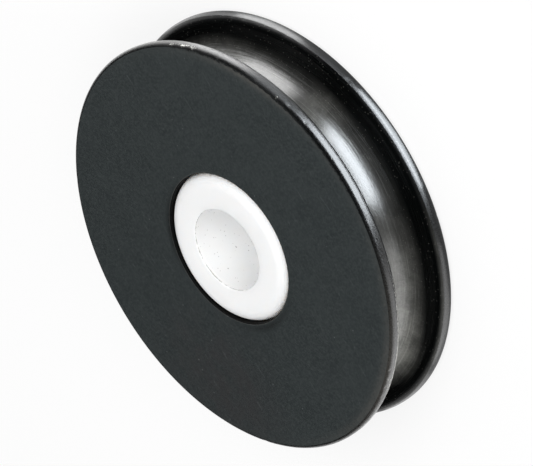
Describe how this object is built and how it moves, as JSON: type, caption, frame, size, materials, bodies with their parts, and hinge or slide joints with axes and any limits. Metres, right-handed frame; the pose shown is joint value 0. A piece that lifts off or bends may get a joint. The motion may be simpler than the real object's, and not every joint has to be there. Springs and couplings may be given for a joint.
{
  "type": "wire rope sheave",
  "caption": "Grooved steel sheave wheel for wire rope, with a plain plastic bush pressed into its bore to run on a fixed pin.",
  "frame": {"origin": "on the axis of the bore, halfway across the width of the wheel", "axes": "+Z along the axis the sheave turns about; the sheave lies flat on the bush's lower end; X and Y are across the wheel"},
  "size_m": [0.05, 0.05, 0.0104],
  "materials": {
    "blackened_steel": "turned steel with a thin black finish: satin faces, a smoother groove and bright worn nicks on the rims",
    "white_acetal": "white engineering plastic, smooth satin, with a few dark specks in the bore"
  },
  "bodies": {
    "root": {"wheel": "blackened_steel", "bush": "white_acetal"}
  },
  "joints": []
}
